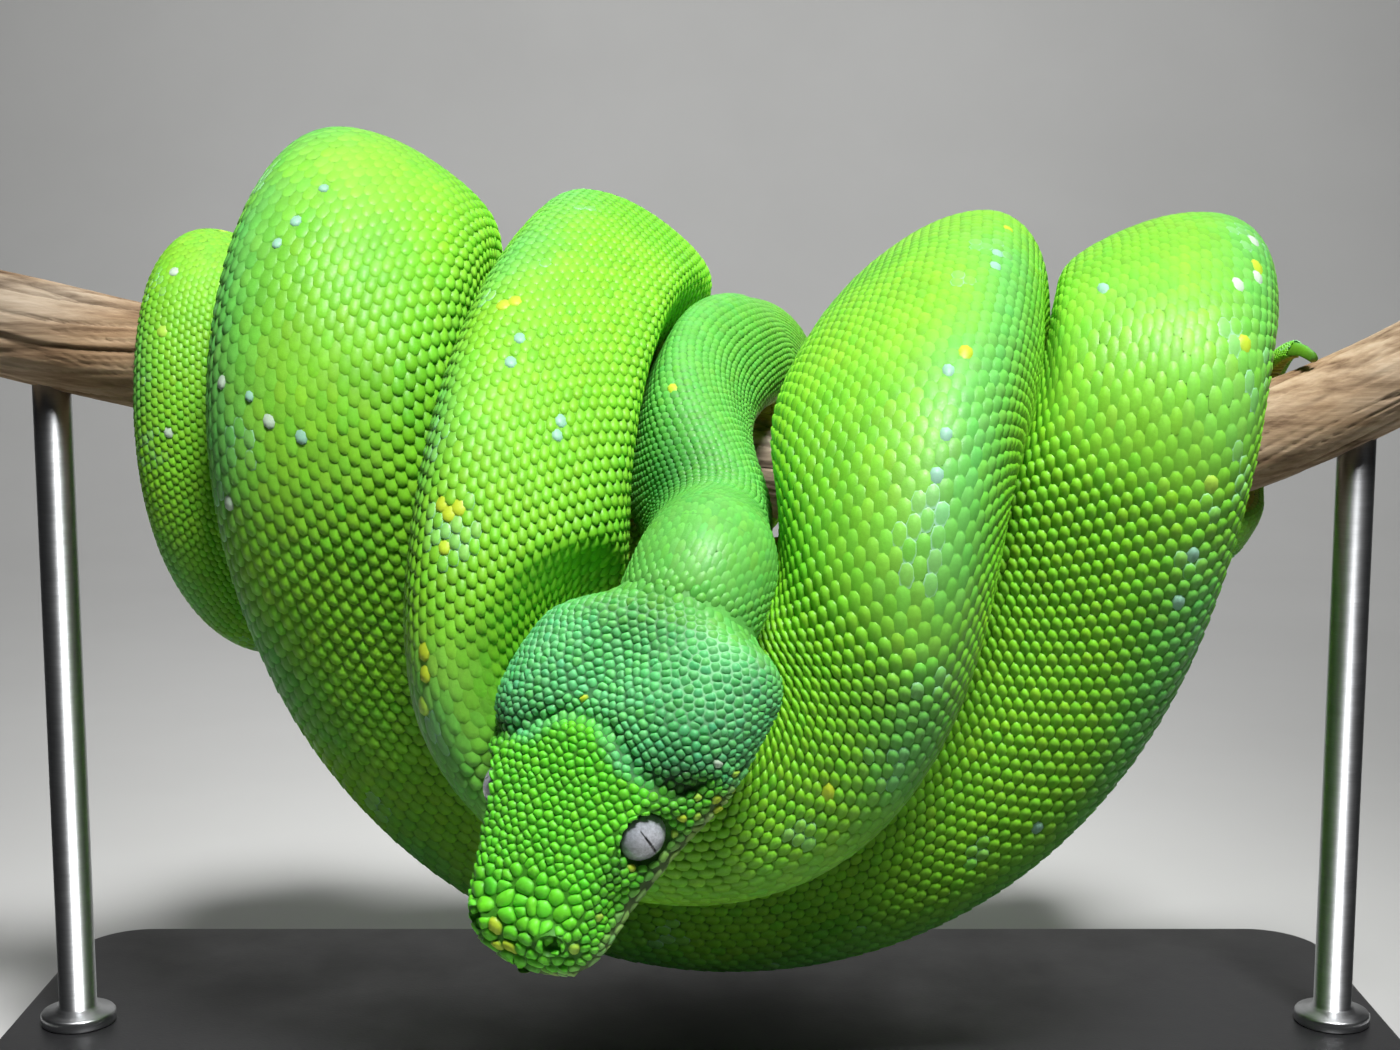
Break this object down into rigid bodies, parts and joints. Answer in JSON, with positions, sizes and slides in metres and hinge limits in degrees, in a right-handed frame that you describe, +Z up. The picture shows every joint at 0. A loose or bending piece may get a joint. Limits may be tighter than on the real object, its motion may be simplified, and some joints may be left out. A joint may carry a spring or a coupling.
{
  "type": "green tree python",
  "caption": "Life-size still model of a green tree python resting in its saddle coil over a cut branch, on a plain display stand.",
  "frame": {"origin": "middle of the underside of the stand's base", "axes": "+X along the perch, to the right seen from the front, +Z up; the head is at the front, -Y"},
  "size_m": [0.27, 0.1711, 0.1787],
  "materials": {
    "skin": "satin scales, bright green with a blue-green spine and small white and yellow spots",
    "eye": "glossy, silver grey with a dark upright slit",
    "branch": "weathered, with deep long cracks",
    "rod": "brushed",
    "base": "satin dark grey"
  },
  "bodies": {
    "root": {"head": "skin", "lower_jaw": "skin", "neck": "skin", "trunk_01": "skin", "trunk_02": "skin", "trunk_03": "skin", "trunk_04": "skin", "trunk_05": "skin", "trunk_06": "skin", "trunk_07": "skin", "trunk_08": "skin", "trunk_09": "skin", "trunk_10": "skin", "tail_root": "skin", "tail_run": "skin", "tail_tip": "skin", "eye_right": "eye", "eye_left": "eye", "perch_branch": "branch", "stand_rod_left": "rod", "stand_rod_right": "rod", "stand_base": "base"}
  },
  "joints": []
}
